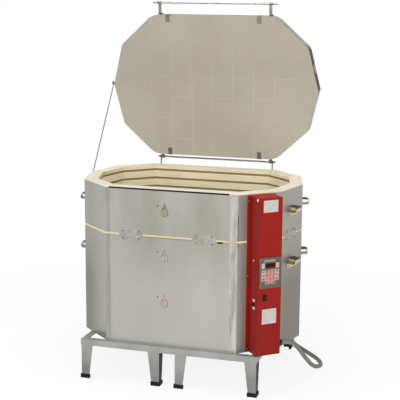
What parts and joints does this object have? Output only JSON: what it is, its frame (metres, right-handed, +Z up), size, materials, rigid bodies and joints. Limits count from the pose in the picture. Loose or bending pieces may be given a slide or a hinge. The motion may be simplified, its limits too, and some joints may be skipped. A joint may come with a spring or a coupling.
{
  "type": "ceramic kiln",
  "caption": "Oval top-loading electric kiln on a steel stand: firebrick walls with heating elements, sheet jacket, hinged lid with stay, control box and supply cord.",
  "frame": {"origin": "on the floor, under the middle of the whole kiln with its lid open, the cord left out", "axes": "+X to the kiln's right as seen from the front, along its long side; +Y to the back, where the lid is hinged; +Z up"},
  "size_m": [1.2668, 1.0971, 1.8818],
  "materials": {
    "stand": "grey painted sheet steel",
    "feet": "matt black rubber",
    "bright": "bright plated steel",
    "jacket": "brushed stainless sheet",
    "brick": "soft insulating firebrick",
    "element": "dark oxidised resistance wire",
    "ceramic_tube": "unglazed cream ceramic",
    "zinc": "yellow zinc plate",
    "dark_steel": "heat-darkened steel",
    "red_paint": "red textured enamel",
    "grey_plastic": "grey moulded plastic",
    "keypad": "light printed film",
    "display": "dark red window",
    "board": "green circuit board",
    "black_plastic": "black moulded plastic",
    "plate": "blank satin plate",
    "buttons": "pale plastic",
    "cord": "grey rubber",
    "brass": "plain brass"
  },
  "bodies": {
    "kiln": {"stand_rails": "stand", "stand_crossbars": "stand", "stand_legs": "stand", "stand_feet": "feet", "stand_rivets": "bright", "bottom_pan": "jacket", "floor_slab": "brick", "bricks_bottom_course": "brick", "bricks_middle_course": "brick", "bricks_top_course": "brick", "heating_elements": "element", "element_terminals": "bright", "thermocouple": "ceramic_tube", "thermocouple_block": "ceramic_tube", "jacket_lower": "jacket", "jacket_upper": "jacket", "jacket_seam_strips": "jacket", "section_plates": "bright", "jacket_screws": "bright", "handles_upper": "zinc", "handles_lower": "zinc", "hinge_brackets": "zinc", "hinge_rod": "bright", "hinge_rod_nuts": "bright", "stay_bracket": "zinc", "box_cover": "red_paint", "box_back": "red_paint", "box_screws": "bright", "controller_bezel": "grey_plastic", "controller_keypad": "keypad", "controller_display": "display", "controller_board": "board", "rocker_housing": "black_plastic", "toggle_body": "bright", "blank_plates": "plate", "blanking_buttons": "buttons", "relays": "black_plastic", "terminal_block": "black_plastic", "cord_gland": "black_plastic", "power_cord": "cord", "cord_coil": "cord", "cord_plug": "cord", "plug_blades": "brass"},
    "lid": {"lid_slab": "brick", "lid_band": "jacket", "lid_band_clamps": "bright", "lid_clips": "dark_steel", "lid_arms": "zinc", "lid_arm_screws": "bright", "grab_rod": "bright", "grab_rod_nuts": "bright", "stay_bolt": "bright"},
    "stay_rod": {"stay_rod": "bright", "stay_collar": "bright"},
    "stay_eye": {"stay_eye": "bright"},
    "peephole_plug_1": {"peephole_plug_1": "ceramic_tube"},
    "peephole_plug_2": {"peephole_plug_2": "ceramic_tube"},
    "peephole_plug_3": {"peephole_plug_3": "ceramic_tube"},
    "rocker": {"rocker": "black_plastic"},
    "toggle_lever": {"toggle_lever": "bright"}
  },
  "joints": [
    {"name": "lid_hinge", "type": "hinge", "parent": "kiln", "child": "lid", "pos_m": [0, 0.39, 1.0304], "axis": [1, 0, 0], "range_deg": [0, 86]},
    {"name": "stay_rod_pivot", "type": "hinge", "parent": "lid", "child": "stay_rod", "pos_m": [-0.584, 0.35722, 1.43109], "axis": [1, 0, 0], "range_deg": [-43, 0]},
    {"name": "stay_eye_turn", "type": "hinge", "parent": "kiln", "child": "stay_eye", "pos_m": [-0.584, 0.0036, 0.9194], "axis": [1, 0, 0], "range_deg": [0, 43]},
    {"name": "peephole_plug_1_pull", "type": "slide", "parent": "kiln", "child": "peephole_plug_1", "axis": [0, -1, 0], "range_m": [0, 0.12]},
    {"name": "peephole_plug_2_pull", "type": "slide", "parent": "kiln", "child": "peephole_plug_2", "axis": [0, -1, 0], "range_m": [0, 0.12]},
    {"name": "peephole_plug_3_pull", "type": "slide", "parent": "kiln", "child": "peephole_plug_3", "axis": [0, -1, 0], "range_m": [0, 0.12]},
    {"name": "power_rocker", "type": "hinge", "parent": "kiln", "child": "rocker", "pos_m": [0.47505, -0.39148, 0.4984], "axis": [-0.7377, -0.6752, 0], "range_deg": [0, 18]},
    {"name": "toggle_switch", "type": "hinge", "parent": "kiln", "child": "toggle_lever", "pos_m": [0.42361, -0.38868, 0.4614], "axis": [-0.6752, 0.7377, 0], "range_deg": [0, 24]}
  ],
  "couplings": [
    {"joint": "stay_rod_pivot", "follows": "lid_hinge", "ratio": -0.5},
    {"joint": "stay_eye_turn", "follows": "lid_hinge", "ratio": 0.5}
  ]
}
